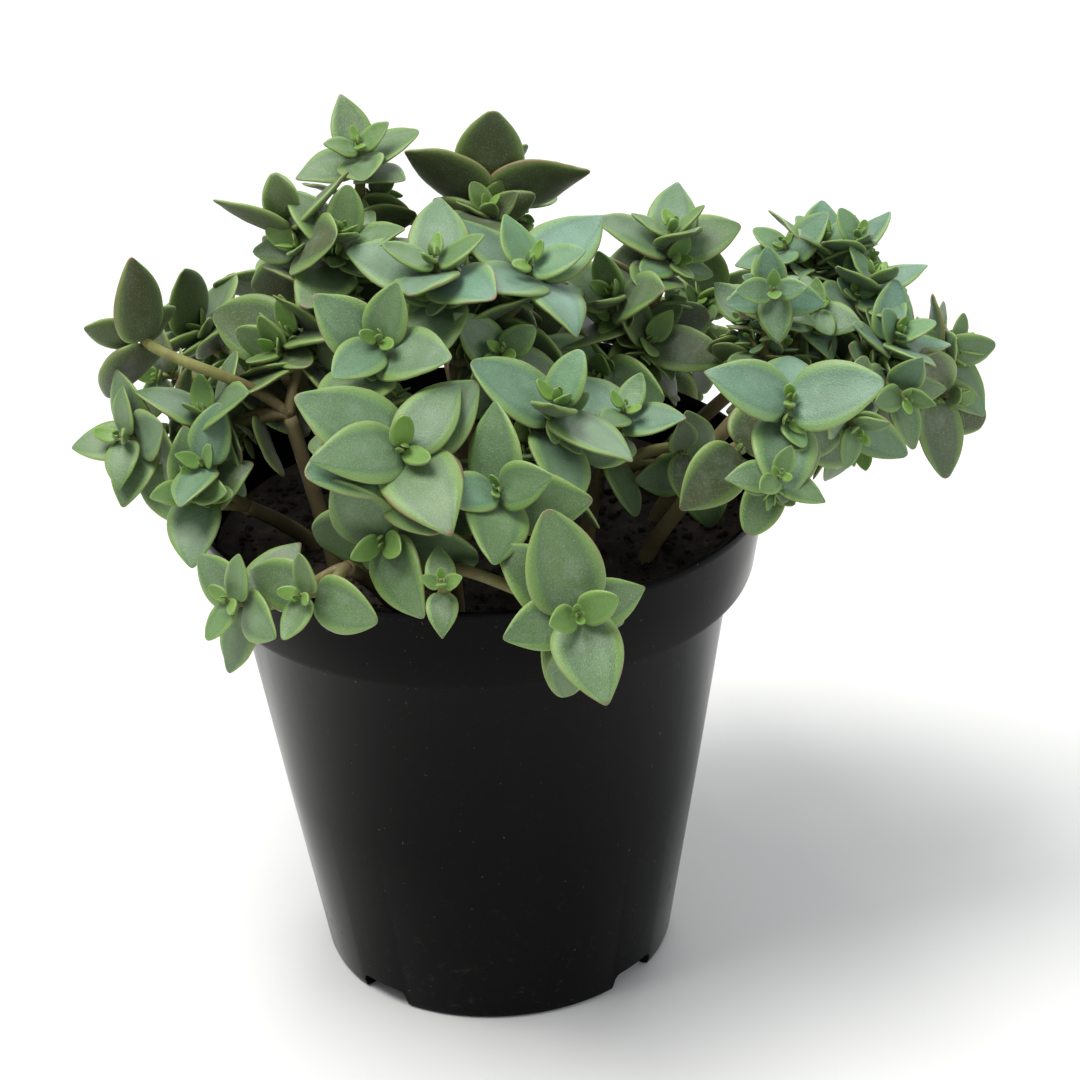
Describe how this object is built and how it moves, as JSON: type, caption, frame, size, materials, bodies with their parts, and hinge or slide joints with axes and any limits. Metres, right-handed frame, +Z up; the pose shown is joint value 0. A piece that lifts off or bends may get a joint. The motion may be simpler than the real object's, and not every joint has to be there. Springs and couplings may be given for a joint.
{
  "type": "potted succulent",
  "caption": "Small creeping succulent with pairs of thick pointed leaves on thin tan stems, growing over the rim of a tapered black nursery pot.",
  "frame": {"origin": "centre of the pot's flat underside", "axes": "+Z up, -Y towards the front of the plant, +X to its right"},
  "size_m": [0.1434, 0.1188, 0.1359],
  "materials": {
    "pot": "gloss",
    "soil": "matte",
    "stem": "matte",
    "leaf": "satin",
    "leaf_purple": "satin"
  },
  "bodies": {
    "root": {"pot": "pot", "rosette_back_centre": "leaf", "rosette_back_left": "leaf", "rosette_back_left_low": "leaf", "rosette_back_low": "leaf", "rosette_back_middle": "leaf", "rosette_back_right": "leaf", "rosette_back_right_low": "leaf", "rosette_centre": "leaf", "rosette_centre_left": "leaf", "rosette_centre_right": "leaf", "rosette_front": "leaf", "rosette_front_middle": "leaf", "rosette_front_under": "leaf", "rosette_high_centre": "leaf", "rosette_high_left": "leaf", "rosette_left": "leaf", "rosette_left_back": "leaf", "rosette_left_far": "leaf_purple", "rosette_left_inner": "leaf", "rosette_left_low": "leaf", "rosette_left_purple": "leaf_purple", "rosette_right": "leaf", "rosette_right_crown": "leaf", "rosette_right_far": "leaf", "rosette_right_front": "leaf", "rosette_right_front_low": "leaf", "rosette_right_hanging": "leaf", "rosette_right_inner": "leaf", "rosette_right_low": "leaf", "rosette_right_shoulder": "leaf", "rosette_right_tail": "leaf", "rosette_rim_bud": "leaf", "rosette_rim_front": "leaf", "rosette_rim_left": "leaf", "rosette_rim_left_front": "leaf", "rosette_top_back": "leaf", "rosette_top_centre": "leaf", "rosette_top_left": "leaf", "rosette_top_left_side": "leaf", "rosette_top_right": "leaf", "soil": "soil", "stem_back_left": "stem", "stem_back_middle": "stem", "stem_back_right": "stem", "stem_centre_right": "stem", "stem_front": "stem", "stem_front_middle": "stem", "stem_high_centre": "stem", "stem_left_far": "stem", "stem_left_inner": "stem", "stem_left_low": "stem", "stem_right": "stem", "stem_right_back": "stem", "stem_right_front": "stem", "stem_rim_front": "stem", "stem_rim_left": "stem", "stem_top_back": "stem", "stem_top_left": "stem", "stem_top_right": "stem"}
  },
  "joints": []
}
